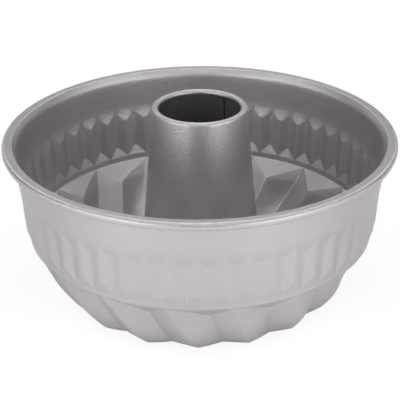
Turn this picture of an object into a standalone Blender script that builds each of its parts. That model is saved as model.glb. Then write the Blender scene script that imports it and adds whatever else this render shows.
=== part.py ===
"""Fluted tube pan: a pressed sheet bowl with a rolled rim, 49 wall pleats and 17 swirling lobes,
and a conical centre tube hemmed into the hole in its floor.

Metres, +Z up. The origin is on the pan's axis, in the plane that the lobes stand on.
Angles run round the axis from the front (-Y) towards the right (+X).
Every bowl radius and height is on the food side of the sheet; the sheet's thickness lies outside it.
"""
import math

import bmesh
import bpy

# Sheet and rim
SHEET = 0.0008
RIM_RADIUS = 0.1200
RIM_HEIGHT = 0.1027
RIM_WIDTH = 0.0067
RIM_DEPTH = 0.0048
RIM_OUTER_CORNER = 0.0015
RIM_INNER_CORNER = 0.0026
RIM_TUCK = 0.0012
CORNER_STEPS = 4

# Plain band of the wall, under the rim
NECK_RADIUS = 0.1111
NECK_DROP = 0.0080

# Pleats
PLEATS = 49
PLEAT_PHASE = math.radians(-1.22)
PLEAT_TOP_HEIGHT = 0.0772
PLEAT_TOP_RADIUS = 0.1107
PLEAT_TOP_POINT = 0.0073
PLEAT_TOP_STEP = 0.0026
PLEAT_BASE_HEIGHT = 0.0440
PLEAT_BASE_RADIUS = 0.1067
PLEAT_BASE_POINT = 0.0077
PLEAT_BASE_STEP = 0.0019

# Ring of the wall between the pleats and the lobes
LEDGE_HEIGHT = 0.0413
LEDGE_RADIUS = 0.1057
LEDGE_ARC_STEPS = 4

# Lobes. Their crests and the troughs between them lean round the axis by a swirl, in radians
LOBES = 17
LOBE_PHASE = math.radians(10.5)
FOLD_WIDTH = 0.0010
LOBE_BULGE = 0.0012
CREST_SHOULDER_RADIUS = 0.0968
CREST_SHOULDER_HEIGHT = 0.0234
CREST_SHOULDER_SWIRL = math.radians(3.8)
CREST_HEEL_RADIUS = 0.0864
CREST_HEEL_HEIGHT = 0.0068
CREST_HEEL_SWIRL = math.radians(7.6)
CREST_ANKLE_RADIUS = 0.0826
CREST_ANKLE_HEIGHT = 0.0021
CREST_ANKLE_SWIRL = math.radians(9.6)
CREST_FOOT_RADIUS = 0.0786
CREST_FOOT_SWIRL = math.radians(11.8)
CREST_INNER_RADIUS = 0.0620
CREST_INNER_SWIRL = math.radians(23.0)
TROUGH_TIP_RADIUS = 0.0953
TROUGH_TIP_HEIGHT = 0.0327
TROUGH_TIP_SWIRL = math.radians(13.7)
TROUGH_SHOULDER_RADIUS = 0.0906
TROUGH_SHOULDER_HEIGHT = 0.0234
TROUGH_SHOULDER_SWIRL = math.radians(15.3)
TROUGH_HEEL_RADIUS = 0.0827
TROUGH_HEEL_HEIGHT = 0.0079
TROUGH_HEEL_SWIRL = math.radians(18.3)
TROUGH_ANKLE_RADIUS = 0.0795
TROUGH_ANKLE_HEIGHT = 0.0041
TROUGH_ANKLE_SWIRL = math.radians(19.8)
TROUGH_FOOT_RADIUS = 0.0757
TROUGH_FOOT_HEIGHT = 0.0030
TROUGH_FOOT_SWIRL = math.radians(21.6)
TROUGH_INNER_RADIUS = 0.0615
TROUGH_INNER_HEIGHT = 0.0042
TROUGH_INNER_SWIRL = math.radians(30.0)
COLLAR_SWIRL = math.radians(28.0)

# Collar round the hole in the floor
FIT_GAP = 0.0003
COLLAR_BEND = 0.0016
COLLAR_HEIGHT = 0.0060
LIP_HEIGHT = SHEET + FIT_GAP

# Centre tube, on its outer face
TUBE_TOP_RADIUS = 0.0291
TUBE_TOP_HEIGHT = 0.1211
TUBE_BASE_RADIUS = 0.0391
TUBE_CURL = 0.0018
TUBE_CURL_TURN = math.radians(235)
CURL_STEPS = 7
TUBE_STEPS = 56
HEM_UPSTAND = 0.0022
SEAM_ANGLE = math.radians(146)
SEAM_WIDTH = 0.0080
SEAM_OVERLAP = 0.0004
SEAM_DROP = 0.0045
SEAM_RISE = 0.0027

# Bends of the smooth rings sharper than this stay crisp
CREASE_ANGLE = math.radians(40)

# Silver-grey coating, as linear colour values
BOWL_COLOUR = (0.45, 0.44, 0.42, 1.0)
TUBE_COLOUR = (0.42, 0.41, 0.39, 1.0)


def clear_scene():
    for item in list(bpy.data.objects):
        bpy.data.objects.remove(item, do_unlink=True)


def new_collection(name):
    group = bpy.data.collections.new(name)
    bpy.context.scene.collection.children.link(group)
    return group


def coated_metal(name, colour, roughness):
    material = bpy.data.materials.new(name)
    material.use_nodes = True
    shader = material.node_tree.nodes["Principled BSDF"]
    shader.inputs["Base Color"].default_value = colour
    shader.inputs["Metallic"].default_value = 0.85
    shader.inputs["Roughness"].default_value = roughness
    return material


def place(radius, height, angle):
    """A point at an angle from the front, on cylindrical coordinates."""
    return (radius * math.sin(angle), -radius * math.cos(angle), height)


def arc(centre_radius, centre_height, size, start, end, steps):
    """Radius and height pairs along an arc in the profile plane, both ends included."""
    turns = [start + (end - start) * i / steps for i in range(steps + 1)]
    return [(centre_radius + size * math.cos(a), centre_height + size * math.sin(a)) for a in turns]


def rim_profile():
    """Food side of the rolled rim, from the tucked edge under it to the top of the plain wall."""
    outer = RIM_RADIUS - RIM_OUTER_CORNER
    inner = RIM_RADIUS - RIM_WIDTH + RIM_INNER_CORNER
    outer_top = RIM_HEIGHT - RIM_OUTER_CORNER
    inner_top = RIM_HEIGHT - RIM_INNER_CORNER
    bottom = RIM_HEIGHT - RIM_DEPTH + RIM_OUTER_CORNER
    quarter = math.pi / 2
    points = [(NECK_RADIUS + SHEET + RIM_TUCK, RIM_HEIGHT - RIM_DEPTH)]
    points += arc(outer, bottom, RIM_OUTER_CORNER, -quarter, 0.0, CORNER_STEPS)
    points += arc(outer, outer_top, RIM_OUTER_CORNER, 0.0, quarter, CORNER_STEPS)
    points += arc(inner, inner_top, RIM_INNER_CORNER, quarter, math.pi, CORNER_STEPS)
    points.append((NECK_RADIUS, RIM_HEIGHT - NECK_DROP))
    return points


def add_ring(mesh, radius, height, angles):
    return [mesh.verts.new(place(radius, height, a)) for a in angles]


def bridge(mesh, upper, lower):
    """Quads between two rings with the same number of points, facing the pan's axis."""
    count = len(upper)
    for i in range(count):
        j = (i + 1) % count
        mesh.faces.new((upper[i], upper[j], lower[j], lower[i]))


def ring_angle(vert):
    return math.atan2(vert.co.x, -vert.co.y) % math.tau


def stitch(mesh, upper, lower):
    """Triangles between two rings with unlike numbers of points, walked round by angle."""
    upper = sorted(upper, key=ring_angle)
    lower = sorted(lower, key=ring_angle)
    i = j = 0
    while i < len(upper) or j < len(lower):
        a, b = upper[i % len(upper)], lower[j % len(lower)]
        next_a, next_b = upper[(i + 1) % len(upper)], lower[(j + 1) % len(lower)]
        angle_a = ring_angle(next_a) + (math.tau if i + 1 >= len(upper) else 0.0)
        angle_b = ring_angle(next_b) + (math.tau if j + 1 >= len(lower) else 0.0)
        if j >= len(lower) or (i < len(upper) and angle_a <= angle_b):
            mesh.faces.new((a, next_a, b))
            i += 1
        else:
            mesh.faces.new((a, next_b, b))
            j += 1


def pleated_band(mesh):
    """Zigzag of pleats. It leaves a top ring of two points a pleat, and ends on one like it."""
    half = math.pi / PLEATS
    angles = [PLEAT_PHASE + half * i for i in range(2 * PLEATS)]
    ridge_height = PLEAT_TOP_HEIGHT - PLEAT_TOP_POINT
    valley_height = PLEAT_BASE_HEIGHT + PLEAT_BASE_POINT
    top = add_ring(mesh, PLEAT_TOP_RADIUS, PLEAT_TOP_HEIGHT, angles)
    ridge = add_ring(mesh, PLEAT_TOP_RADIUS - PLEAT_TOP_STEP, ridge_height, angles[1::2])
    valley = add_ring(mesh, PLEAT_BASE_RADIUS + PLEAT_BASE_STEP, valley_height, angles[0::2])
    base = add_ring(mesh, PLEAT_BASE_RADIUS, PLEAT_BASE_HEIGHT, angles)
    for k in range(PLEATS):
        n = (k + 1) % PLEATS
        valley_top, mid_top, next_top = top[2 * k], top[2 * k + 1], top[2 * n]
        valley_base, mid_base, next_base = base[2 * k], base[2 * k + 1], base[2 * n]
        mesh.faces.new((valley_top, mid_top, ridge[k]))
        mesh.faces.new((mid_top, next_top, ridge[k]))
        mesh.faces.new((valley_top, ridge[k], mid_base, valley[k]))
        mesh.faces.new((ridge[k], next_top, valley[n], mid_base))
        mesh.faces.new((valley[k], mid_base, valley_base))
        mesh.faces.new((valley[n], next_base, mid_base))
    return top, base


def collar_rows():
    """Food side of the bend into the hole, and of the lip that the tube passes through."""
    bore = TUBE_BASE_RADIUS + FIT_GAP
    bend = arc(bore + COLLAR_BEND, COLLAR_HEIGHT - COLLAR_BEND, COLLAR_BEND, math.pi / 2, math.pi, 2)
    return bend + [(bore, LIP_HEIGHT)]


def lobe_levels():
    """Crest, trough and bulge at each level, from the shoulder down and in to the flat sole."""
    shoulder = ((CREST_SHOULDER_RADIUS, CREST_SHOULDER_HEIGHT, CREST_SHOULDER_SWIRL),
                (TROUGH_SHOULDER_RADIUS, TROUGH_SHOULDER_HEIGHT, TROUGH_SHOULDER_SWIRL), LOBE_BULGE)
    heel = ((CREST_HEEL_RADIUS, CREST_HEEL_HEIGHT, CREST_HEEL_SWIRL),
            (TROUGH_HEEL_RADIUS, TROUGH_HEEL_HEIGHT, TROUGH_HEEL_SWIRL), LOBE_BULGE)
    ankle = ((CREST_ANKLE_RADIUS, CREST_ANKLE_HEIGHT, CREST_ANKLE_SWIRL),
             (TROUGH_ANKLE_RADIUS, TROUGH_ANKLE_HEIGHT, TROUGH_ANKLE_SWIRL), LOBE_BULGE)
    foot = ((CREST_FOOT_RADIUS, SHEET, CREST_FOOT_SWIRL),
            (TROUGH_FOOT_RADIUS, TROUGH_FOOT_HEIGHT, TROUGH_FOOT_SWIRL), 0.0)
    inner = ((CREST_INNER_RADIUS, SHEET, CREST_INNER_SWIRL),
             (TROUGH_INNER_RADIUS, TROUGH_INNER_HEIGHT, TROUGH_INNER_SWIRL), 0.0)
    return [shoulder, heel, ankle, foot, inner]


def lobe_ring(mesh, crest, trough, bulge):
    """One level of the lobes: a fold on each crest, a bulging middle and a fold in each trough."""
    ring = []
    step = math.tau / LOBES
    middle_radius = (crest[0] + trough[0]) / 2 + bulge
    middle_height = (crest[1] + trough[1]) / 2
    middle_swirl = (crest[2] + trough[2]) / 2
    for k in range(LOBES):
        start = LOBE_PHASE + k * step
        ring += fold_pair(mesh, crest[0], crest[1], start + crest[2])
        ring += add_ring(mesh, middle_radius, middle_height, [start + middle_swirl])
        ring += fold_pair(mesh, trough[0], trough[1], start + trough[2])
    return ring


def fold_pair(mesh, radius, height, angle):
    """The two sides of a narrow fold."""
    half = FOLD_WIDTH / radius
    return add_ring(mesh, radius, height, (angle - half, angle + half))


def lobes(mesh):
    """Faceted lobes from the ledge ring to the lip. It leaves the ledge ring."""
    step = math.tau / LOBES
    half = FOLD_WIDTH / LEDGE_RADIUS
    span = step - 2 * half
    spread = [-half] + [half + span * i / LEDGE_ARC_STEPS for i in range(LEDGE_ARC_STEPS)]
    ledge = []
    for k in range(LOBES):
        start = LOBE_PHASE + k * step
        ledge.append(add_ring(mesh, LEDGE_RADIUS, LEDGE_HEIGHT, [start + a for a in spread]))
    above = []
    for k in range(LOBES):
        angle = LOBE_PHASE + k * step + TROUGH_TIP_SWIRL
        tip = fold_pair(mesh, TROUGH_TIP_RADIUS, TROUGH_TIP_HEIGHT, angle)
        middle = mesh.verts.new((ledge[k][1].co + tip[0].co) / 2)
        above += ledge[k][:2] + [middle] + tip
        mesh.faces.new(ledge[k][1:] + [ledge[(k + 1) % LOBES][0], tip[1], tip[0], middle])
    levels = lobe_levels()
    for radius, height in collar_rows():
        crest = (radius, height, COLLAR_SWIRL)
        levels.append((crest, (radius, height, COLLAR_SWIRL + step / 2), 0.0))
    for crest, trough, bulge in levels:
        below = lobe_ring(mesh, crest, trough, bulge)
        bridge(mesh, above, below)
        above = below
    return [vert for part in ledge for vert in part]


def sheet_object(name, mesh, group, material):
    """A named object from a surface, thickened to the sheet behind its facing side."""
    data = bpy.data.meshes.new(name)
    mesh.to_mesh(data)
    mesh.free()
    data.set_sharp_from_angle(angle=CREASE_ANGLE)
    data.materials.append(material)
    item = bpy.data.objects.new(name, data)
    group.objects.link(item)
    wall = item.modifiers.new("sheet", "SOLIDIFY")
    wall.thickness = SHEET
    wall.offset = -1.0
    wall.use_even_offset = True
    return item


def make_bowl(group):
    """Pressed bowl: rolled rim, plain band, pleats, ledge and swirling lobes in one sheet."""
    mesh = bmesh.new()
    top, base = pleated_band(mesh)
    stitch(mesh, base, lobes(mesh))
    bmesh.ops.triangulate(mesh, faces=[f for f in mesh.faces if len(f.verts) > 4])
    pressed = set(mesh.faces)
    half = math.pi / PLEATS
    angles = [PLEAT_PHASE + half * i for i in range(2 * PLEATS)]
    above = None
    for radius, height in rim_profile():
        below = add_ring(mesh, radius, height, angles)
        if above:
            bridge(mesh, above, below)
        above = below
    bridge(mesh, above, top)
    for face in mesh.faces:
        face.smooth = face not in pressed
    material = coated_metal("silver_coating", BOWL_COLOUR, 0.38)
    return sheet_object("fluted_bowl", mesh, group, material)


def tube_profile():
    """Outer face of the tube, from the tucked end of its curl down to the hem's free edge."""
    curl_height = TUBE_TOP_HEIGHT - TUBE_CURL
    hem_radius = TUBE_BASE_RADIUS + FIT_GAP + SHEET + FIT_GAP
    points = arc(TUBE_TOP_RADIUS - TUBE_CURL, curl_height, TUBE_CURL, TUBE_CURL_TURN, 0.0,
                 CURL_STEPS)
    points.append((TUBE_BASE_RADIUS, SHEET))
    points.append((hem_radius, SHEET))
    points.append((hem_radius, SHEET + HEM_UPSTAND))
    return points


def make_seam(group, cone_radius):
    """Strip where the tube's sheet laps over itself, standing on the wall's inner face."""
    top = TUBE_TOP_HEIGHT - SEAM_DROP
    bottom = SEAM_RISE
    mesh = bmesh.new()
    bmesh.ops.create_cube(mesh, size=1.0)
    for vert in mesh.verts:
        height = top if vert.co.z > 0 else bottom
        face = cone_radius(height) - SHEET
        radius = face + SEAM_OVERLAP if vert.co.y < 0 else face - SHEET
        side = math.copysign(SEAM_WIDTH / 2, vert.co.x)
        vert.co = place(radius, height, SEAM_ANGLE + side / radius)
    bmesh.ops.recalc_face_normals(mesh, faces=mesh.faces)
    data = bpy.data.meshes.new("lap_strip")
    mesh.to_mesh(data)
    mesh.free()
    item = bpy.data.objects.new("lap_strip", data)
    item.hide_render = True
    item.display_type = "WIRE"
    group.objects.link(item)
    return item


def make_tube(group, cutters):
    """Rolled conical tube with a curl at the top, a lap seam inside and a hem under the floor."""
    points = tube_profile()
    fall = TUBE_TOP_HEIGHT - TUBE_CURL - SHEET
    taper = (TUBE_BASE_RADIUS - TUBE_TOP_RADIUS) / fall
    mesh = bmesh.new()
    above = None
    for radius, height in points:
        angles = [math.tau * i / TUBE_STEPS for i in range(TUBE_STEPS)]
        below = add_ring(mesh, radius, height, angles)
        if above:
            bridge(mesh, below, above)
        above = below
    for face in mesh.faces:
        face.smooth = True
    material = coated_metal("tube_coating", TUBE_COLOUR, 0.34)
    tube = sheet_object("centre_tube", mesh, group, material)
    wall = tube.modifiers["sheet"]
    wall.solidify_mode = "NON_MANIFOLD"
    wall.nonmanifold_thickness_mode = "CONSTRAINTS"
    seam = make_seam(cutters, lambda height: TUBE_BASE_RADIUS - taper * (height - SHEET))
    lap = tube.modifiers.new("lap seam", "BOOLEAN")
    lap.operation = "UNION"
    lap.object = seam
    return tube


def main():
    clear_scene()
    pan = new_collection("fluted_tube_pan")
    cutters = new_collection("cutters")
    make_bowl(pan)
    make_tube(pan, cutters)


main()
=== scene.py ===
# %% [markdown]
# # A fluted tube pan in coated sheet
#
# The real pan is a ring-cake pan. It is two pieces of thin steel sheet under a satin silver-grey
# coating. The bowl is pressed from one disc: its edge is rolled into a rim, its wall is folded into
# 49 short pleats, and below a narrow ledge 17 lobes swirl in towards the middle. A conical tube
# stands in the hole in its floor and carries heat to the middle of the cake.
#
# This lesson builds both pieces in metres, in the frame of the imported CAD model, and then lights
# them as the photograph does. The origin is on the pan's axis, in the plane that the lobes stand
# on, and every angle runs round the axis from the front (-Y) towards the right (+X).

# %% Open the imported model
import math

import bmesh
import bpy
import numpy as np
from mathutils import Matrix, Vector


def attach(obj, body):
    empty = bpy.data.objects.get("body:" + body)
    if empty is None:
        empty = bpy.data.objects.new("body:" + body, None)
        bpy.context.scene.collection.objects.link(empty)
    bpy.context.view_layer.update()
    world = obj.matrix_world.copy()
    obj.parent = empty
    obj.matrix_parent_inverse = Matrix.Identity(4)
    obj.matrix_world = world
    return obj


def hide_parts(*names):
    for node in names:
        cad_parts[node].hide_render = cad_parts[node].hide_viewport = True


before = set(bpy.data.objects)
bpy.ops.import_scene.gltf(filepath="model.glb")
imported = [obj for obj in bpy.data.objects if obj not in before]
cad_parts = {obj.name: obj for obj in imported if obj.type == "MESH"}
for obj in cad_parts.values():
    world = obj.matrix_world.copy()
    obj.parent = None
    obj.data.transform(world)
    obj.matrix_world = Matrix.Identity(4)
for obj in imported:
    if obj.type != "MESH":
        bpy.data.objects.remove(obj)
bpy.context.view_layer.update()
print("CAD nodes:", sorted(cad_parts))

# %% [markdown]
# ## The camera
#
# The photograph looks down on the pan by about 26 degrees from three quarters of a metre away, with
# a long lens. A camera can be moved by eye until the outlines meet, but these numbers came from
# fitting the rim, the pleats and the lobes to the picture together. So the camera is placed by its
# distance, its elevation and its small roll, and none of them was set by eye.

# %% Place the camera
CAMERA_DISTANCE = 0.7675
CAMERA_ELEVATION = math.radians(26.443)
CAMERA_ROLL = math.radians(-0.451)
CAMERA_AIM = Vector((-0.00016, 0.0, 0.0573))
FOCAL_PIXELS = 1224.2
IMAGE_PIXELS = 400
SENSOR_WIDTH = 36.0


def make_camera():
    """A camera that looks at the pan's middle from the front and above."""
    data = bpy.data.cameras.new("photo_camera")
    data.sensor_width = SENSOR_WIDTH
    data.lens = FOCAL_PIXELS / IMAGE_PIXELS * SENSOR_WIDTH
    item = bpy.data.objects.new("photo_camera", data)
    bpy.context.scene.collection.objects.link(item)
    back = Vector((0.0, -math.cos(CAMERA_ELEVATION), math.sin(CAMERA_ELEVATION)))
    side = Vector((1.0, 0.0, 0.0))
    rise = back.cross(side)
    turned_side = math.cos(CAMERA_ROLL) * side + math.sin(CAMERA_ROLL) * rise
    turned_rise = math.cos(CAMERA_ROLL) * rise - math.sin(CAMERA_ROLL) * side
    turn = Matrix((turned_side, turned_rise, back)).transposed().to_4x4()
    item.matrix_world = Matrix.Translation(CAMERA_AIM + CAMERA_DISTANCE * back) @ turn
    bpy.context.scene.camera = item
    return item


camera = make_camera()
print("lens:", round(camera.data.lens, 1), "mm")

# %% [markdown]
# ## Shader maths in plain Python
#
# A coating is written as sums and products of patterns. They can be wired node by node, but a dozen
# Math nodes are hard to read. Here a small class wraps each socket, so that the maths reads as
# Python, and one method makes every other node: its settings go on first, then its inputs.

# %% A small class for shader values
class Value:
    """One output in a shader tree, with Python's arithmetic."""

    def __init__(self, shader, socket):
        self.shader = shader
        self.socket = socket

    def _math(self, operation, first, second):
        return self.shader.node("Math", {"operation": operation}, {0: first, 1: second})

    def __add__(self, other):
        return self._math("ADD", self, other)

    def __sub__(self, other):
        return self._math("SUBTRACT", self, other)

    def __mul__(self, other):
        return self._math("MULTIPLY", self, other)

    def __rsub__(self, other):
        return self._math("SUBTRACT", other, self)

    def at_least(self, low):
        return self._math("MAXIMUM", self, low)

    def at_most(self, high):
        return self._math("MINIMUM", self, high)

    def part(self, axis):
        """One part of a vector: 0, 1 or 2."""
        return self.shader.node("SeparateXYZ", {}, {0: self}, output=axis)

    __radd__ = __add__
    __rmul__ = __mul__


# %% A small class for node trees
WHITE = (1.0, 1.0, 1.0, 1.0)


class Shader:
    """The node tree of a material or of the world, filled through one method."""

    def __init__(self, tree):
        self.tree = tree
        tree.nodes.clear()

    def node(self, kind, settings=None, inputs=None, output=0):
        """One output of a new node, made from its settings and its sockets' values or links."""
        item = self.tree.nodes.new("ShaderNode" + kind)
        for name, value in (settings or {}).items():
            setattr(item, name, value)
        for key, value in (inputs or {}).items():
            if isinstance(value, Value):
                self.tree.links.new(value.socket, item.inputs[key])
            else:
                item.inputs[key].default_value = value
        return Value(self, item.outputs[output])

    def blend(self, amount, first, second):
        """A colour between two others."""
        sockets = {0: amount, 6: first, 7: second}
        return self.node("Mix", {"data_type": "RGBA"}, sockets, output=2)

    def finish(self, surface, kind="OutputMaterial"):
        """Lead the last node to the tree's output."""
        end = self.tree.nodes.new("ShaderNode" + kind)
        self.tree.links.new(surface.socket, end.inputs["Surface"])


def new_material(name):
    """An empty material and the shader that fills it."""
    material = bpy.data.materials.new(name)
    material.use_nodes = True
    return material, Shader(material.node_tree)


# %% [markdown]
# ## The coating
#
# The steel is coated in a silicone enamel full of aluminium flakes. Close up it is a very fine
# sparkling grain; from a step away it is a soft satin that takes the light of the room. The flakes
# could be an image wrapped round the pan, but noise in Object coordinates needs no unwrapping and
# has the same size on both pieces. So the enamel is mostly metallic with a broad sheen, its grain
# changes the roughness and the normal a little, and a wide faint mottling stands for the press
# marks and the uneven spray. Where a mesh carries the shade attribute, the colour is darkened
# towards near black: this is painted shade inside the tube and a painted shadow along its lap.

# %% Mix the coating
FLAKE_SCALE, MOTTLE_SCALE, WAVE_SCALE = 1150.0, 28.0, 9.0
FLAKE_TINT, MOTTLE_TINT = 0.30, 0.10
TINT_SPREAD = 0.12  # how far the darkest and the lightest grey lie from the colour
FLAKE_ROUGHNESS, MOTTLE_ROUGHNESS = 0.10, 0.08
GRAIN_STRENGTH, GRAIN_DEPTH = 0.5, 0.0005
WAVE_STRENGTH, WAVE_DEPTH = 0.06, 0.004
METALLIC = 0.85
# Near black, for the painted shade inside the tube and the painted shadow along its lap.
PAINTED_SHADE_COLOUR = (0.010, 0.011, 0.012, 1.0)


def coating(name, colour, roughness):
    """Satin silver-grey enamel over sheet steel."""
    material, shader = new_material(name)
    place = shader.node("TexCoord", output="Object")
    flakes = shader.node("TexNoise", {}, {"Vector": place, "Scale": FLAKE_SCALE, "Detail": 2.0})
    mottle = shader.node("TexNoise", {}, {"Vector": place, "Scale": MOTTLE_SCALE, "Detail": 3.0})
    clouds = shader.node("TexNoise", {}, {"Vector": place, "Scale": WAVE_SCALE, "Detail": 1.0})
    shade = (flakes - 0.5) * FLAKE_TINT + (mottle - 0.5) * MOTTLE_TINT + 0.5
    dark = tuple((1 - TINT_SPREAD) * part for part in colour) + (1.0,)
    light = tuple((1 + TINT_SPREAD) * part for part in colour) + (1.0,)
    tint = shader.blend(shade.at_least(0.0).at_most(1.0), dark, light)
    # Painted shade: the tube's attribute darkens the enamel towards near black, lightly over its
    # inner face and most in the gap along the lap, where it stands for a shadow.
    painted_shade = shader.node("Attribute", {"attribute_name": "painted_shade"}, output="Fac")
    tint = shader.blend(painted_shade, tint, PAINTED_SHADE_COLOUR)
    rough = (mottle - 0.5) * MOTTLE_ROUGHNESS + (flakes - 0.5) * FLAKE_ROUGHNESS + roughness
    grain = shader.node("Bump", {}, {"Strength": GRAIN_STRENGTH, "Distance": GRAIN_DEPTH,
                                     "Height": flakes})
    waves = shader.node("Bump", {}, {"Strength": WAVE_STRENGTH, "Distance": WAVE_DEPTH,
                                     "Height": clouds, "Normal": grain})
    sockets = {"Base Color": tint, "Metallic": METALLIC, "Roughness": rough, "Normal": waves}
    shader.finish(shader.node("BsdfPrincipled", {}, sockets))
    return material


bowl_coat = coating("bowl_enamel", (0.53, 0.505, 0.505), 0.33)
tube_coat = coating("tube_enamel", (0.51, 0.486, 0.490), 0.335)
print("nodes in the bowl's coating:", len(bowl_coat.node_tree.nodes))

# %% [markdown]
# ## Lofting one sector
#
# A pleat and a lobe are both made of flat facets that meet in folds. They could be sculpted, or
# pushed out of a plain cylinder, but only a mesh whose lines follow the folds keeps them clean. So
# each row of a sector is a chain of corner points, and the same number of steps is always put
# between the same two corners. Where a facet narrows to a tip its corners meet, and merging the
# doubled points turns its last squares into a fan. The steps crowd towards the corners, where the
# folds are rounded later on.
#
# Radii and heights are on the food side of the sheet. A point is a radius, a height and an angle.

# %% Steps between two corners, and a row of them
CROWDING = 0.72  # 0 leaves the steps even, 1 closes the first one


def crowded(count):
    """Fractions from 0 to 1 that crowd towards both ends."""
    even = np.linspace(0.0, 1.0, count + 1)
    return even - CROWDING * np.sin(2 * np.pi * even) / (2 * np.pi)


def mix(first, last, share):
    """A point between two others, part by part."""
    return tuple(a * (1 - share) + b * share for a, b in zip(first, last))


def to_xyz(polar):
    """Radius, height and angle as X, Y and Z."""
    radius, height, angle = np.moveaxis(np.asarray(polar, float), -1, 0)
    return np.stack([radius * np.sin(angle), -radius * np.cos(angle), height], axis=-1)


def row_points(corners, counts, roundness):
    """A row through its corners. Roundness 1 keeps a stretch to a circle, 0 to a chord."""
    row = []
    for first, last, count, bend in zip(corners[:-1], corners[1:], counts, roundness):
        share = crowded(count)[:, None]
        curved = to_xyz(np.array(first) * (1 - share) + np.array(last) * share)
        ends = to_xyz([first, last])
        straight = ends[0] * (1 - share) + ends[1] * share
        step = bend * curved + (1 - bend) * straight
        row.extend(step if not row else step[1:])
    return np.array(row)


print("six crowded steps:", [round(float(share), 3) for share in crowded(6)])

# %% Faces between the rows
MERGE_DISTANCE, THINNEST_EDGE = 1e-6, 1e-7


def sector_mesh(name, rows):
    """A mesh from rows of equal length, facing the food side, with doubled points merged."""
    mesh = bmesh.new()
    grid = [[mesh.verts.new(point) for point in row] for row in rows]
    for upper, lower in zip(grid[:-1], grid[1:]):
        for i in range(len(upper) - 1):
            mesh.faces.new((upper[i], upper[i + 1], lower[i + 1], lower[i]))
    bmesh.ops.remove_doubles(mesh, verts=mesh.verts, dist=MERGE_DISTANCE)
    bmesh.ops.dissolve_degenerate(mesh, edges=mesh.edges, dist=THINNEST_EDGE)
    data = bpy.data.meshes.new(name)
    mesh.to_mesh(data)
    mesh.free()
    item = bpy.data.objects.new(name, data)
    bpy.context.scene.collection.objects.link(item)
    return item


# %% [markdown]
# ## One pleat
#
# Seen from inside, a pleat runs from one outer fold to the next. At the top a triangle points down
# at the inner fold; at the bottom half triangles rise to a tip on each outer fold. Between the two
# sets of triangles the wall is a plain zigzag. A pleat could be cut from a zigzag prism with two
# slanting planes, but rows between four named points give the same facets, and moving a point
# moves its fold.

# %% Make one pleat
PLEATS = 49
PLEAT_WIDTH = math.tau / PLEATS
PLEAT_TOP = (0.1107, 0.0772)
PLEAT_INNER_TIP = (0.1081, 0.0699)
PLEAT_OUTER_TIP = (0.1088, 0.0533)
PLEAT_BASE = (0.1063, 0.0459)
PLEAT_STEPS = (4, 5, 4, 4, 5, 4)
TRIANGLE_ROWS, ZIGZAG_ROWS = 6, 8


def radius_at(upper, lower, height):
    """Radius at a height on the line between two points of radius and height."""
    return mix(upper, lower, (upper[1] - height) / (upper[1] - lower[1]))[0]


def outer_fold(height):
    """Radius of the folds that stand out."""
    return radius_at(PLEAT_TOP, PLEAT_OUTER_TIP, height)


def inner_fold(height):
    """Radius of the folds that stand in."""
    return radius_at(PLEAT_INNER_TIP, PLEAT_BASE, height)


def pleat_row(corners):
    return row_points(corners, PLEAT_STEPS, (1.0,) * len(PLEAT_STEPS))


def pleat_rows():
    """Rows of the upper triangle, the zigzag and the lower half triangles."""
    width, middle = PLEAT_WIDTH, PLEAT_WIDTH / 2
    rows = []
    for share in crowded(TRIANGLE_ROWS):
        radius, height = mix(PLEAT_TOP, PLEAT_INNER_TIP, share)
        edge = share * width / 2
        start, end = (outer_fold(height), height, 0.0), (outer_fold(height), height, width)
        rows.append(pleat_row([start, start, (radius, height, edge), (radius, height, middle),
                               (radius, height, width - edge), end, end]))
    for share in crowded(ZIGZAG_ROWS)[1:-1]:
        height = mix(PLEAT_INNER_TIP, PLEAT_OUTER_TIP, share)[1]
        start, end = (outer_fold(height), height, 0.0), (outer_fold(height), height, width)
        inner = (inner_fold(height), height, middle)
        rows.append(pleat_row([start, start, inner, inner, inner, end, end]))
    for share in crowded(TRIANGLE_ROWS):
        radius, height = mix(PLEAT_OUTER_TIP, PLEAT_BASE, share)
        edge = share * width / 2
        inner = (inner_fold(height), height, middle)
        rows.append(pleat_row([(radius, height, 0.0), (radius, height, edge), inner, inner, inner,
                               (radius, height, width - edge), (radius, height, width)]))
    return rows


pleat = sector_mesh("pleat", pleat_rows())
print("one pleat:", len(pleat.data.vertices), "points")

# %% [markdown]
# ## The lines of a lobe
#
# A lobe lies between two lines that swirl round the pan as they go down: the crest, which is the
# fold that stands out, and the trough, which is the groove to the next lobe. Each could be drawn
# as a Bezier curve; here it is a short list of radius, height and swirl in degrees, measured row by
# row on the photograph, with a smooth course between the rows, because a number is easier to
# correct than a handle. The facets aren't quite flat either. They swell a little at the heel, as
# pressed sheet does, and lose it again under the sole.

# %% Two lines and the swell between them
SHEET = 0.0008
LOBES = 17
LOBE_SPACING = 360.0 / LOBES
LEDGE = (0.1059, 0.0424)
CREST = [(*LEDGE, 0.0), (0.1011, 0.03285, 1.55), (0.0968, 0.0234, 3.8), (0.0925, 0.0154, 5.7),
         (0.0862, 0.0068, 7.6), (0.0829, 0.0028, 9.1), (0.0804, 0.0014, 10.4),
         (0.0779, 0.0009, 11.8), (0.0705, 0.0008, 17.0), (0.0620, 0.0008, 23.0)]
# The trough begins at the tip of a triangle, so its first two rows are one point.
TROUGH = [(0.0953, 0.0327, 13.7), (0.0953, 0.0327, 13.7), (0.0906, 0.0234, 15.3),
          (0.08655, 0.0154, 16.7), (0.0827, 0.0079, 18.3), (0.0805, 0.00485, 19.3),
          (0.07815, 0.00343, 20.4), (0.0757, 0.0030, 21.6), (0.0685, 0.0033, 25.6),
          (0.0615, 0.0042, 30.0)]
BROAD_BULGE, NARROW_BULGE = 0.0014, 0.00027
BULGE_START, BULGE_FULL = 0.4, 2.0  # in rows of the two lines, like the next
HEEL_ROW, SOLE_ROW = 3, 6


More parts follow.
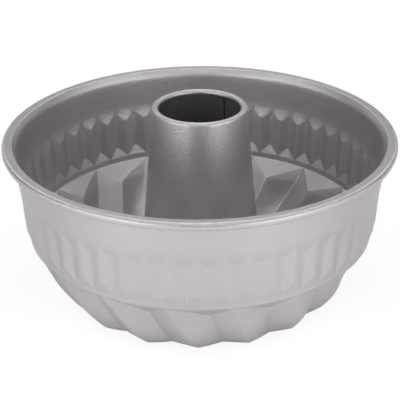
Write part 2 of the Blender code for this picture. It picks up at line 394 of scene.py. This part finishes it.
def along(line, place):
    """A point on a smooth curve through a line's rows; place counts rows."""
    i = min(int(place), len(line) - 2)
    share = place - i
    before = line[max(i - 1, 0)] if i != 1 else line[1]
    after = line[min(i + 2, len(line) - 1)]
    here, there = np.array(line[i]), np.array(line[i + 1])
    first = (there - np.array(before)) / 2
    last = (np.array(after) - here) / 2
    a, b = share ** 3, share ** 2
    return ((2 * a - 3 * b + 1) * here + (a - 2 * b + share) * first
            + (3 * b - 2 * a) * there + (a - b) * last)


def bulge_at(level):
    """Share of the full bulge: none at the tip, all at the heel, and none again past the sole."""
    grown = min(1.0, max(0.0, (level - BULGE_START) / (BULGE_FULL - BULGE_START)))
    return min(grown, max(0.0, (SOLE_ROW - level) / (SOLE_ROW - HEEL_ROW)))


for level in (0.5, 2, 4, 6):
    radius, height, swirl = along(CREST, level)
    print(f"crest at row {level}: {radius * 1000:.1f} mm out, {height * 1000:.1f} mm up,",
          f"{swirl:.1f} degrees, bulge {bulge_at(level):.2f}")

# %% [markdown]
# ## One lobe
#
# A lobe starts as a point on the ledge and widens as it goes down. Between two such points lies a
# shallow triangle that slopes inwards from the ledge; at its tip the groove between two lobes
# begins. Below the tip a row has only two facets: a broad one from the crest to the groove and a
# narrow one from the groove to the next crest. Both lines bend round the foot and run in to the
# collar round the hole. Lofting it by rows, as the pleat was, gives every facet its own squares.

# %% Rows of a lobe
LOBE_STEPS = (12, 12, 8)
BULGE_FALL = 0.6  # a facet swells down by this share of what it swells outwards


def with_angle(point, turns):
    """A point of a line, its swirl in radians and moved on by so many lobes."""
    return (point[0], point[1], math.radians(point[2]) + turns * math.tau / LOBES)


def lobe_corners(crest, trough):
    """From a crest to the groove and on to the next crest."""
    groove = with_angle(trough, 0)
    return [with_angle(crest, 0), groove, groove, with_angle(crest, 1)]


def bulged(corners, level):
    """A row whose broad and narrow facets swell outwards and a little down."""
    row = row_points(corners, LOBE_STEPS, (0.0, 1.0, 0.0))
    broad, narrow = BROAD_BULGE * bulge_at(level), NARROW_BULGE * bulge_at(level)
    narrow_start = LOBE_STEPS[0] + LOBE_STEPS[1]
    for first, count, height in ((0, LOBE_STEPS[0], broad), (narrow_start, LOBE_STEPS[2], narrow)):
        share = crowded(count)
        swell = 4 * share * (1 - share) * height
        part = row[first:first + len(share)]
        out = part * (1.0, 1.0, 0.0)
        out /= np.linalg.norm(out, axis=1)[:, None]
        way = (out - (0.0, 0.0, BULGE_FALL)) / math.hypot(1.0, BULGE_FALL)
        part += way * swell[:, None]
    row[:, 2] = np.maximum(row[:, 2], SHEET)
    return row


heel = lobe_corners(along(CREST, HEEL_ROW), along(TROUGH, HEEL_ROW))
print("points in a row at the heel:", len(bulged(heel, HEEL_ROW)))

# %% Make one lobe
FLOOR_HEIGHT = 0.0060
BORE_RADIUS = 0.0394
COLLAR_BEND = 0.0016
COLLAR_SWIRL = 28.0  # degrees, as in the two lines
LIP_HEIGHT = 0.0011
TIP_ROWS, ROWS_PER_LEVEL, FLOOR_ROWS, COLLAR_ROWS = 9, 4, 8, 5


def collar_row(radius, height):
    """One lobe's share of a circle round the hole."""
    corners = lobe_corners((radius, height, COLLAR_SWIRL),
                           (radius, height, COLLAR_SWIRL + LOBE_SPACING / 2))
    return row_points(corners, LOBE_STEPS, (1.0, 1.0, 1.0))


def lobe_rows():
    """Rows of the triangle, the two facets, the floor and the collar, from the ledge down."""
    rows = []
    tip = with_angle(TROUGH[0], 0)
    for share in crowded(TIP_ROWS):
        crest = along(CREST, share)
        left = mix(with_angle(CREST[0], 0), tip, share)
        right = mix(with_angle(CREST[0], 1), tip, share)
        rows.append(bulged([with_angle(crest, 0), left, right, with_angle(crest, 1)], share))
    for step in range(1, ROWS_PER_LEVEL * (len(CREST) - 2)):
        level = 1 + step / ROWS_PER_LEVEL
        rows.append(bulged(lobe_corners(along(CREST, level), along(TROUGH, level)), level))
    bend_top = BORE_RADIUS + COLLAR_BEND
    for share in np.linspace(0.0, 1.0, FLOOR_ROWS + 1):
        crest = mix(CREST[-1], (bend_top, FLOOR_HEIGHT, COLLAR_SWIRL), share)
        trough = mix(TROUGH[-1], (bend_top, FLOOR_HEIGHT, COLLAR_SWIRL + LOBE_SPACING / 2), share)
        rows.append(row_points(lobe_corners(crest, trough), LOBE_STEPS, (share, 1.0, share)))
    for turn in np.linspace(0.0, math.pi / 2, COLLAR_ROWS + 1)[1:]:
        radius = bend_top - COLLAR_BEND * math.sin(turn)
        rows.append(collar_row(radius, FLOOR_HEIGHT - COLLAR_BEND * (1 - math.cos(turn))))
    rows.append(collar_row(BORE_RADIUS, LIP_HEIGHT))
    return rows


lobe = sector_mesh("lobe", lobe_rows())
print("one lobe:", len(lobe.data.vertices), "points")

# %% [markdown]
# ## Repeating a sector round the axis
#
# Copies could be made in a loop, but the pan's rule is simply "the same sector so many times", and
# Geometry Nodes say that directly. The tree puts one instance on each of a number of points at the
# origin, turns it by its index, makes the copies real and merges the edges where they touch.

# %% Build the tree that repeats a sector
TOUCH_DISTANCE = 2e-6


def ring_tree():
    """A tree with the inputs Sector, Count, Phase and Coating."""
    tree = bpy.data.node_groups.new("ring_of_sectors", "GeometryNodeTree")
    face = tree.interface
    for name, kind in (("Sector", "Geometry"), ("Count", "Int"), ("Phase", "Float"),
                       ("Coating", "Material")):
        face.new_socket(name, in_out="INPUT", socket_type="NodeSocket" + kind)
    face.new_socket("Ring", in_out="OUTPUT", socket_type="NodeSocketGeometry")

    def node(kind, settings=None, inputs=None):
        item = tree.nodes.new(kind)
        for name, value in (settings or {}).items():
            setattr(item, name, value)
        for key, value in (inputs or {}).items():
            if isinstance(value, bpy.types.NodeSocket):
                tree.links.new(value, item.inputs[key])
            else:
                item.inputs[key].default_value = value
        return item.outputs[0]

    given = tree.nodes.new("NodeGroupInput").outputs
    places = node("GeometryNodePoints", {}, {"Count": given["Count"]})
    index = node("GeometryNodeInputIndex")
    share = node("ShaderNodeMath", {"operation": "DIVIDE"}, {0: index, 1: given["Count"]})
    turn = node("ShaderNodeMath", {"operation": "MULTIPLY_ADD"},
                {0: share, 1: math.tau, 2: given["Phase"]})
    axis = node("ShaderNodeCombineXYZ", {}, {"Z": turn})
    copies = node("GeometryNodeInstanceOnPoints", {},
                  {"Points": places, "Instance": given["Sector"], "Rotation": axis})
    real = node("GeometryNodeRealizeInstances", {}, {0: copies})
    merged = node("GeometryNodeMergeByDistance", {}, {"Geometry": real, "Distance": TOUCH_DISTANCE})
    coated = node("GeometryNodeSetMaterial", {}, {"Geometry": merged, "Material": given["Coating"]})
    tree.links.new(coated, tree.nodes.new("NodeGroupOutput").inputs[0])
    return tree


ring_of_sectors = ring_tree()
print("tree inputs:", [item.name for item in ring_of_sectors.interface.items_tree])

# %% Repeat the pleat and the lobe
PLEAT_PHASE, LOBE_PHASE = math.radians(-1.25), math.radians(10.44)


def repeat(item, count, phase):
    """The plain mesh of a ring of one sector."""
    modifier = item.modifiers.new("ring", "NODES")
    modifier.node_group = ring_of_sectors
    values = {"Count": count, "Phase": phase, "Coating": bowl_coat}
    for socket in ring_of_sectors.interface.items_tree:
        if socket.name in values:
            modifier[socket.identifier] = values[socket.name]
    item.update_tag()
    graph = bpy.context.evaluated_depsgraph_get()
    data = bpy.data.meshes.new_from_object(item.evaluated_get(graph))
    item.modifiers.remove(modifier)
    bpy.data.objects.remove(item, do_unlink=True)
    return data


pleat_ring = repeat(pleat, PLEATS, PLEAT_PHASE)
lobe_ring = repeat(lobe, LOBES, LOBE_PHASE)
print("pleats:", len(pleat_ring.polygons), "faces; lobes:", len(lobe_ring.polygons), "faces")

# %% [markdown]
# ## The rim and the plain wall
#
# Above the pleats the wall is a plain ring, and its edge is rolled outwards over itself into a bead
# with a nearly flat top. A turned shape can be made with a Screw modifier or a spin; here rings of
# points are laid one by one, because each ring has to stand exactly over the pleats' own points,
# and they aren't evenly spaced.

# %% The section of the rim and the wall
RIM_RADIUS, RIM_HEIGHT, RIM_WIDTH, RIM_DEPTH = 0.1200, 0.1027, 0.0064, 0.0048
RIM_OUTER_CORNER, RIM_INNER_CORNER = 0.0020, 0.0010
RIM_INNER_TURN = 155  # degrees; at 180 the corner would end upright
RIM_FLAT_MARGIN = 0.0003
RIM_TUCK = 0.0012
NECK_RADIUS = 0.1111
WALL_LINE = [(0.1131, 0.1012), (0.1125, 0.1002), (0.11205, 0.0992), (0.11178, 0.0982),
             (0.11162, 0.0970), (0.1115, 0.0948), (0.11136, 0.0910), (0.1112, 0.0870),
             (0.11102, 0.0830), (0.11085, 0.0797)]


def arc(centre, size, start, end, steps):
    """Points of radius and height on a round corner, with its ends in degrees."""
    turns = np.linspace(math.radians(start), math.radians(end), steps + 1)
    return [(centre[0] + size * math.cos(t), centre[1] + size * math.sin(t)) for t in turns]


def rim_profile():
    """From the free edge tucked under the bead, round the bead and down to the pleats."""
    outer = RIM_RADIUS - RIM_OUTER_CORNER
    inner = RIM_RADIUS - RIM_WIDTH + RIM_INNER_CORNER
    top, inner_top = RIM_HEIGHT - RIM_OUTER_CORNER, RIM_HEIGHT - RIM_INNER_CORNER
    bottom = RIM_HEIGHT - RIM_DEPTH
    tuck = NECK_RADIUS + SHEET + RIM_TUCK
    points = [(tuck, bottom + SHEET), (tuck + SHEET, bottom)]
    points += arc((outer, bottom + RIM_OUTER_CORNER), RIM_OUTER_CORNER, -90, 0, 6)
    points += arc((outer, top), RIM_OUTER_CORNER, 0, 90, 6)
    points += [(outer - RIM_FLAT_MARGIN, RIM_HEIGHT), (inner + RIM_FLAT_MARGIN, RIM_HEIGHT)]
    points += arc((inner, inner_top), RIM_INNER_CORNER, 90, RIM_INNER_TURN, 8)
    return points + WALL_LINE


print("rim and wall:", len(rim_profile()), "rings")

# %% [markdown]
# ## Joining rings of points
#
# The bowl is one sheet, so its parts have to share their edges. Two rings with the same angles are
# bridged with squares. The pleats and the lobes have unlike numbers of points, so the narrow ledge
# between them can't be bridged: it is laced up with triangles, walking round both circles by angle.
# Joining the meshes and leaving a seam would be easier, but light would leak and the sheet would
# get two edges where the real one has none.

# %% Rings, squares and triangles
LEVEL_TOLERANCE = 1e-5


def boundary_ring(mesh, height):
    """The open edge's points at a height, in order round the axis."""
    found = [v for v in mesh.verts if abs(v.co.z - height) < LEVEL_TOLERANCE and v.is_boundary]
    return sorted(found, key=lambda v: math.atan2(v.co.x, -v.co.y) % math.tau)


def turned_ring(mesh, radius, height, like):
    """A circle with its points at the same angles as another ring's."""
    ring = []
    for vert in like:
        angle = math.atan2(vert.co.x, -vert.co.y)
        ring.append(mesh.verts.new((radius * math.sin(angle), -radius * math.cos(angle), height)))
    return ring


def bridge(mesh, upper, lower):
    """Smooth squares between two rings with the same number of points."""
    for i in range(len(upper)):
        j = (i + 1) % len(upper)
        face = mesh.faces.new((upper[i], upper[j], lower[j], lower[i]))
        face.smooth = True


def lace(mesh, upper, lower):
    """Triangles between two rings with unlike numbers of points."""
    def angle(ring, i):
        vert = ring[i % len(ring)]
        return math.atan2(vert.co.x, -vert.co.y) % math.tau + (i // len(ring)) * math.tau

    i = j = 0
    while i < len(upper) or j < len(lower):
        a, b = upper[i % len(upper)], lower[j % len(lower)]
        upper_next = i < len(upper) and angle(upper, i + 1) <= angle(lower, j + 1)
        if j >= len(lower) or upper_next:
            mesh.faces.new((a, upper[(i + 1) % len(upper)], b))
            i += 1
        else:
            mesh.faces.new((a, lower[(j + 1) % len(lower)], b))
            j += 1


# %% Join the rim, the pleats, the ledge and the lobes
LEDGE_MARGIN = 0.15


def bowl_mesh():
    """The bowl's food side, open at the rim's free edge and at the hole."""
    mesh = bmesh.new()
    mesh.from_mesh(pleat_ring)
    mesh.from_mesh(lobe_ring)
    top = boundary_ring(mesh, PLEAT_TOP[1])
    base = boundary_ring(mesh, PLEAT_BASE[1])
    ledge = boundary_ring(mesh, LEDGE[1])
    print("points in a ring:", len(top), "at the pleats,", len(ledge), "at the lobes")
    above = None
    for radius, height in rim_profile():
        ring = turned_ring(mesh, radius, height, top)
        if above:
            bridge(mesh, above, ring)
        above = ring
    bridge(mesh, above, top)
    low = turned_ring(mesh, *mix(PLEAT_BASE, LEDGE, LEDGE_MARGIN), base)
    bridge(mesh, base, low)
    high = turned_ring(mesh, *mix(PLEAT_BASE, LEDGE, 1 - LEDGE_MARGIN), ledge)
    lace(mesh, low, high)
    bridge(mesh, high, ledge)
    for face in mesh.faces:
        face.smooth = True
    data = bpy.data.meshes.new("pressed_bowl")
    mesh.to_mesh(data)
    mesh.free()
    return data


bowl_sheet = bowl_mesh()
print("bowl surface:", len(bowl_sheet.polygons), "faces")

# %% [markdown]
# ## Handing a piece to the frame
#
# The imported model knows bodies, nodes and slots for coatings. A finished piece has to say which
# body it rides on and which node's plain solid it stands for, and it takes its coating as its one
# material. That could be written out for each piece, but both pieces of this pan ride on the one
# body, so one function does it.

# %% A function for finished pieces
def new_piece(name, data, material, node):
    """A finished piece that rides on the pan's one body and stands for a CAD node."""
    item = bpy.data.objects.new(name, data)
    bpy.context.scene.collection.objects.link(item)
    data.materials.clear()
    data.materials.append(material)
    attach(item, "root")
    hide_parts(node)
    return item


bowl = new_piece("pressed_bowl", bowl_sheet, bowl_coat, "fluted_bowl")
print("first piece:", bowl.name)

# %% [markdown]
# ## Soft folds and real sheet
#
# A press can't make a knife edge. The pleats' folds are rounded over a millimetre or so at the top
# and less towards their feet, the lobes' folds are nearly crisp, and the ledge is crisp. A Bevel
# modifier would need each fold marked and would cut into its neighbours here, where the rows
# already crowd. So a Smooth modifier runs a few passes, and a vertex group says how much each point
# takes part. Solidify then thickens the surface away from the food side, so that the measured
# radii and heights stay where they are.

# %% Round the folds and thicken the sheet
CALM_RADIUS = 0.047
WALL_MARGIN, FOLD_MARGIN = 0.002, 0.0015
PLEAT_SOFTNESS, PLEAT_SOFTNESS_GAIN = 0.12, 1.1
LOBE_SOFTNESS = 0.10
SOFTENING_PASSES, SOFTENING_FACTOR = 30, 0.5


def fold_softness(point):
    """How much of the smoothing a point takes: none on the wall, the ledge and the collar."""
    if point.z > PLEAT_TOP[1] + WALL_MARGIN or point.xy.length < CALM_RADIUS:
        return 0.0
    if point.z > PLEAT_BASE[1] + FOLD_MARGIN:
        share = (point.z - PLEAT_BASE[1]) / (PLEAT_TOP[1] - PLEAT_BASE[1])
        return min(1.0, PLEAT_SOFTNESS + PLEAT_SOFTNESS_GAIN * share)
    if point.z > LEDGE[1] - FOLD_MARGIN:
        return 0.0
    return LOBE_SOFTNESS


folds = bowl.vertex_groups.new(name="folds")
for vert in bowl.data.vertices:
    folds.add([vert.index], fold_softness(vert.co), "REPLACE")
soften = bowl.modifiers.new("soften folds", "SMOOTH")
soften.factor = SOFTENING_FACTOR
soften.iterations = SOFTENING_PASSES
soften.vertex_group = "folds"
wall = bowl.modifiers.new("sheet", "SOLIDIFY")
wall.thickness = SHEET
wall.offset = -1.0
wall.use_even_offset = True
print("softness at the pleats' tops:", round(fold_softness(Vector((0.0, 0.11, PLEAT_TOP[1]))), 2))

# %% [markdown]
# ## The section of the centre tube
#
# The tube is a strip of sheet rolled into a cone. Its top edge is curled inwards into a bead, and
# its bottom edge turns out under the bowl's floor into a hem. A cone primitive with Solidify would
# give the wall but not the two edges. So all of it is one closed section, to be turned round the
# axis: the outer face runs down from the tucked end of the curl, and the inner face runs back up
# one sheet inside it.

# %% Draw the tube's section
TUBE_TOP = (0.0291, 0.1190)
TUBE_BASE = (0.0391, SHEET)
CURL, CURL_TURN = 0.0021, 235
HEM_UPSTAND, HEM_BEND = 0.0022, 0.0006
FIT_GAP = 0.0003
WALL_ROWS = 12


def cone_line(first, last):
    """Points down or up the cone, without the first."""
    return [mix(first, last, i / WALL_ROWS) for i in range(1, WALL_ROWS + 1)]


def tube_section():
    """Radius, height and kind of each point, once round the sheet. Kind marks the inner face."""
    curl = (TUBE_TOP[0] - CURL, TUBE_TOP[1])
    hem = TUBE_BASE[0] + FIT_GAP + SHEET + FIT_GAP
    top = SHEET + HEM_UPSTAND
    outer = arc(curl, CURL, CURL_TURN, 0, 20) + cone_line(TUBE_TOP, TUBE_BASE)
    outer.append((hem - HEM_BEND, SHEET))
    outer += arc((hem - HEM_BEND, SHEET + HEM_BEND), HEM_BEND, -90, 0, 3)
    outer.append((hem, top))
    bend = HEM_BEND + SHEET
    inner = [(hem + SHEET, top)] + arc((hem - HEM_BEND, bend), bend, 0, -90, 4)
    inner += arc((TUBE_BASE[0] - SHEET + HEM_BEND, HEM_BEND), HEM_BEND, -90, -180, 3)
    inner += [(radius - SHEET, height) for radius, height in cone_line(TUBE_BASE, TUBE_TOP)]
    curled = arc(curl, CURL - SHEET, 0, CURL_TURN, 16)[1:]
    kinds = (("outer", outer), ("inner", inner), ("curled", curled))
    return [(radius, height, kind) for kind, points in kinds for radius, height in points]


print("tube section:", len(tube_section()), "points")

# %% [markdown]
# ## The lap and the nick
#
# The two ends of the tube's strip lap over each other at the back right, which leaves a step
# inside, and the press left a small nick in the curl just beside it. The lap could be a separate
# strip laid on the tube, but the real tube is one strip. So the inner face simply stands further in
# over a few degrees, with one abrupt side where the strip ends, and the curl is pushed out at the
# nick. The inside of the tube lies in shade and the strip's end throws a dark line beside it; both
# are painted into the colour through an attribute that the material reads: painted shade over the
# inner face, and a darker painted shadow in the narrow gap along the strip's end.

# %% How far the lap and the nick move a point
LAP_ANGLE, LAP_WIDTH = math.radians(139.6), math.radians(14.0)
LAP_START, LAP_END = LAP_ANGLE - LAP_WIDTH / 2, LAP_ANGLE + LAP_WIDTH / 2
LAP_SOFT_SIDE, LAP_SHARP_SIDE = 0.04, 0.004  # radians over which the step rises and falls
LAP_STEP = 0.85 * SHEET
NICK_ANGLE, NICK_WIDTH, NICK_DEPTH = math.radians(148.7), math.radians(2.2), 0.0006
# Where the painted shadow of the strip's end lies, in radians past the lap's end.
GAP_START, GAP_END = -0.004, 0.035  # radians past the lap's end
# Share of painted shade: a painted shadow in the gap along the strip's end, lighter painted shade
# over the rest of the inner face.
GAP_SHADOW, INSIDE_SHADE = 0.95, 0.25


def lap_step(angle):
    """How far the lap stands in: abruptly at one side, softly at the other."""
    side = LAP_WIDTH / 2
    rise = np.clip((angle - LAP_ANGLE + side) / LAP_SOFT_SIDE + 0.5, 0, 1)
    fall = np.clip((LAP_ANGLE + side - angle) / LAP_SHARP_SIDE + 0.5, 0, 1)
    return LAP_STEP * rise * fall


def nick(angle):
    """How far the curl is pushed out at the nick."""
    return NICK_DEPTH * max(0.0, 1 - ((angle - NICK_ANGLE) / NICK_WIDTH) ** 2)


def painted_shade_at(angle, kind):
    """How much painted shade darkens a point: most in the gap along the strip's end, less over the
    rest of the inner face, none elsewhere.
    """
    if kind != "inner":
        return 0.0
    return GAP_SHADOW if GAP_START < angle - LAP_END < GAP_END else INSIDE_SHADE


print("lap:", round(math.degrees(LAP_START)), "to", round(math.degrees(LAP_END)), "degrees, step",
      round(1000 * float(lap_step(LAP_ANGLE)), 2), "mm")

# %% Turn the tube
COLUMNS, NICK_COLUMNS = 160, 7
GAP_COLUMNS = (-0.014, -0.011, 0.034, 0.038)  # radians past the lap's end, both sides of the gap
LAP_LOWEST, LAP_TOP_MARGIN = 0.004, 0.0022
SHARP_ANGLE = math.radians(50)


def tube_angles():
    """Even steps, and a few more at both sides of the lap, of the gap and of the nick."""
    even = np.linspace(0, math.tau, COLUMNS, endpoint=False)
    extra = [LAP_START - LAP_SOFT_SIDE / 2, LAP_START + LAP_SOFT_SIDE / 2]
    extra += [LAP_END - LAP_SHARP_SIDE / 2, LAP_END + LAP_SHARP_SIDE / 2]
    extra += [LAP_END + column for column in GAP_COLUMNS]
    extra += list(NICK_ANGLE + NICK_WIDTH * np.linspace(-1, 1, NICK_COLUMNS))
    return np.unique(np.round(np.concatenate([even, extra]), 5))


def tube_mesh():
    """The section turned round the axis, with the lap, the nick and the attribute of painted shade.
    """
    mesh = bmesh.new()
    section, angles = tube_section(), tube_angles()
    rings = []
    for radius, height, kind in section:
        ring = []
        for angle in angles:
            here = radius
            if kind == "inner" and LAP_LOWEST < height < TUBE_TOP[1] - LAP_TOP_MARGIN:
                here -= lap_step(angle)
            if height > TUBE_TOP[1] and radius < TUBE_TOP[0] - CURL:
                here += nick(angle)
            ring.append(mesh.verts.new((here * math.sin(angle), -here * math.cos(angle), height)))
        rings.append(ring)
    for i, ring in enumerate(rings):
        bridge(mesh, rings[(i + 1) % len(rings)], ring)
    data = bpy.data.meshes.new("centre_tube_sheet")
    mesh.to_mesh(data)
    mesh.free()
    data.set_sharp_from_angle(angle=SHARP_ANGLE)
    # Painted shade inside the tube and a painted shadow beside the lap, as an attribute that the
    # material reads.
    painted_shade = data.attributes.new("painted_shade", "FLOAT", "POINT")
    values = [painted_shade_at(angle, kind) for radius, height, kind in section for angle in angles]
    painted_shade.data.foreach_set("value", values)
    return data


tube = new_piece("rolled_tube", tube_mesh(), tube_coat, "centre_tube")
print("tube:", len(tube.data.polygons), "faces")

# %% [markdown]
# ## The floor
#
# The pan stands on a sheet of white paper that runs up behind it. A curved backdrop would do too,
# but one large plane is enough when the camera sees white wherever the pan's shadow doesn't fall. A
# plain diffuse floor gives the soft shadow at the feet; towards the camera it is mixed with plain
# white, so that the sheet stays white and only the shadow shows. The paper in front of the pan is
# brightly lit, and the outer wall mirrors it, so for every other ray the floor also glows a little.
# It doesn't glow under the pan, where the real paper lies in shade, nor behind it. The plane lies a
# tenth of a millimetre under the feet, because two faces at one height would flicker.

# %% Lay the floor
FLOOR_SIZE, FLOOR_GAP = 6.0, 0.0001
PAPER = (0.85, 0.85, 0.85, 1.0)
PAPER_GLOW, PAPER_WHITE = 0.27, 1.05
GLOW_EDGE, GLOW_CORE = math.radians(84), math.radians(42)
SHADED_RADIUS, LIT_RADIUS = 0.080, 0.095
CAMERA_WHITE = 0.84


def paper_material():
    """White paper: matte with a glow in front of the pan, and almost white for the camera."""
    material, shader = new_material("white_floor")
    place = shader.node("TexCoord", output="Object")
    radius = shader.node("VectorMath", {"operation": "LENGTH"}, {0: place}, output="Value")
    clear = shader.node("MapRange", {}, {"Value": radius, "From Min": SHADED_RADIUS,
                                         "From Max": LIT_RADIUS})
    azimuth = shader.node("Math", {"operation": "ARCTAN2"},
                          {0: place.part(0), 1: 0.0 - place.part(1)})
    azimuth = shader.node("Math", {"operation": "ABSOLUTE"}, {0: azimuth})
    front = shader.node("MapRange", {}, {"Value": azimuth, "From Min": GLOW_EDGE,
                                         "From Max": GLOW_CORE})
    matte = shader.node("BsdfDiffuse", {}, {"Color": PAPER})
    dark = shader.node("Emission", {}, {"Strength": 0.0})
    glow = shader.node("Emission", {}, {"Color": WHITE, "Strength": PAPER_GLOW})
    glow = shader.node("MixShader", {}, {0: clear * front, 1: dark, 2: glow})
    paper = shader.node("AddShader", {}, {0: matte, 1: glow})
    white = shader.node("Emission", {}, {"Color": WHITE, "Strength": PAPER_WHITE})
    seen = shader.node("LightPath", output="Is Camera Ray") * CAMERA_WHITE
    shader.finish(shader.node("MixShader", {}, {0: seen, 1: paper, 2: white}))
    return material


def make_floor():
    """A square of paper just under the feet."""
    data = bpy.data.meshes.new("studio_floor")
    turns = ((-1, -1), (1, -1), (1, 1), (-1, 1))
    corners = [(FLOOR_SIZE * x, FLOOR_SIZE * y, -FLOOR_GAP) for x, y in turns]
    data.from_pydata(corners, [], [(0, 1, 2, 3)])
    data.materials.append(paper_material())
    item = bpy.data.objects.new("studio_floor", data)
    bpy.context.scene.collection.objects.link(item)
    return item


floor = make_floor()
print("floor:", floor.dimensions.x, "m square")

# %% [markdown]
# ## The light
#
# The tube has two soft upright streaks a quarter of its width to each side of the middle. They show
# two low softboxes at about 37 degrees left and right of the camera. The flat top of the rim is
# brightest at the back, so a large light hangs high behind the pan, and the sides of the bowl stay
# open because weaker light comes from all round. An image of a studio could light the pan too, but
# square lamps can be moved and dimmed one at a time. They are kept in one table; a lamp off the
# middle is set up twice, once to each side. Behind them the world is nearly black, except that the
# camera sees white.

# %% Make the world
WORLD_FILL = 0.07


def make_world():
    """Nearly black for the pan, white for the camera."""
    world = bpy.data.worlds.new("studio")
    bpy.context.scene.world = world
    world.use_nodes = True
    shader = Shader(world.node_tree)
    strength = shader.node("LightPath", output="Is Camera Ray").at_least(WORLD_FILL)
    background = shader.node("Background", {}, {"Color": WHITE, "Strength": strength})
    shader.finish(background, "OutputWorld")


make_world()
bpy.context.scene.view_settings.view_transform = "Standard"
print("light from the world:", WORLD_FILL)

# %% Hang the softboxes
SOFTBOX_DISTANCE = 1.6
SOFTBOX_SIZE = 0.8
RIG_CENTRE = Vector((0.0, 0.0, 0.06))
LAMPS = [
    # azimuth from the camera, elevation, watts
    (0, 38, 2.1), (0, 66, 3.5), (37, 12, 5.9), (65, 12, 2.3), (65, 38, 2.7), (90, 12, 1.8),
    (100, 64, 1.5), (140, 12, 1.1), (140, 38, 3.1), (180, 12, 1.6), (180, 64, 5.9),
]


def softbox(azimuth, elevation, power):
    """A square lamp that faces the pan."""
    name = f"softbox_{azimuth}_{elevation}"
    data = bpy.data.lights.new(name, "AREA")
    data.shape = "SQUARE"
    data.size = SOFTBOX_SIZE
    data.energy = power
    lamp = bpy.data.objects.new(name, data)
    bpy.context.scene.collection.objects.link(lamp)
    a, e = math.radians(azimuth), math.radians(elevation)
    away = Vector((math.sin(a) * math.cos(e), -math.cos(a) * math.cos(e), math.sin(e)))
    lamp.location = RIG_CENTRE + SOFTBOX_DISTANCE * away
    lamp.rotation_euler = away.to_track_quat("Z", "Y").to_euler()
    return lamp


for azimuth, elevation, power in LAMPS:
    sides = (1,) if azimuth in (0, 180) else (1, -1)
    for side in sides:
        softbox(side * azimuth, elevation, power)
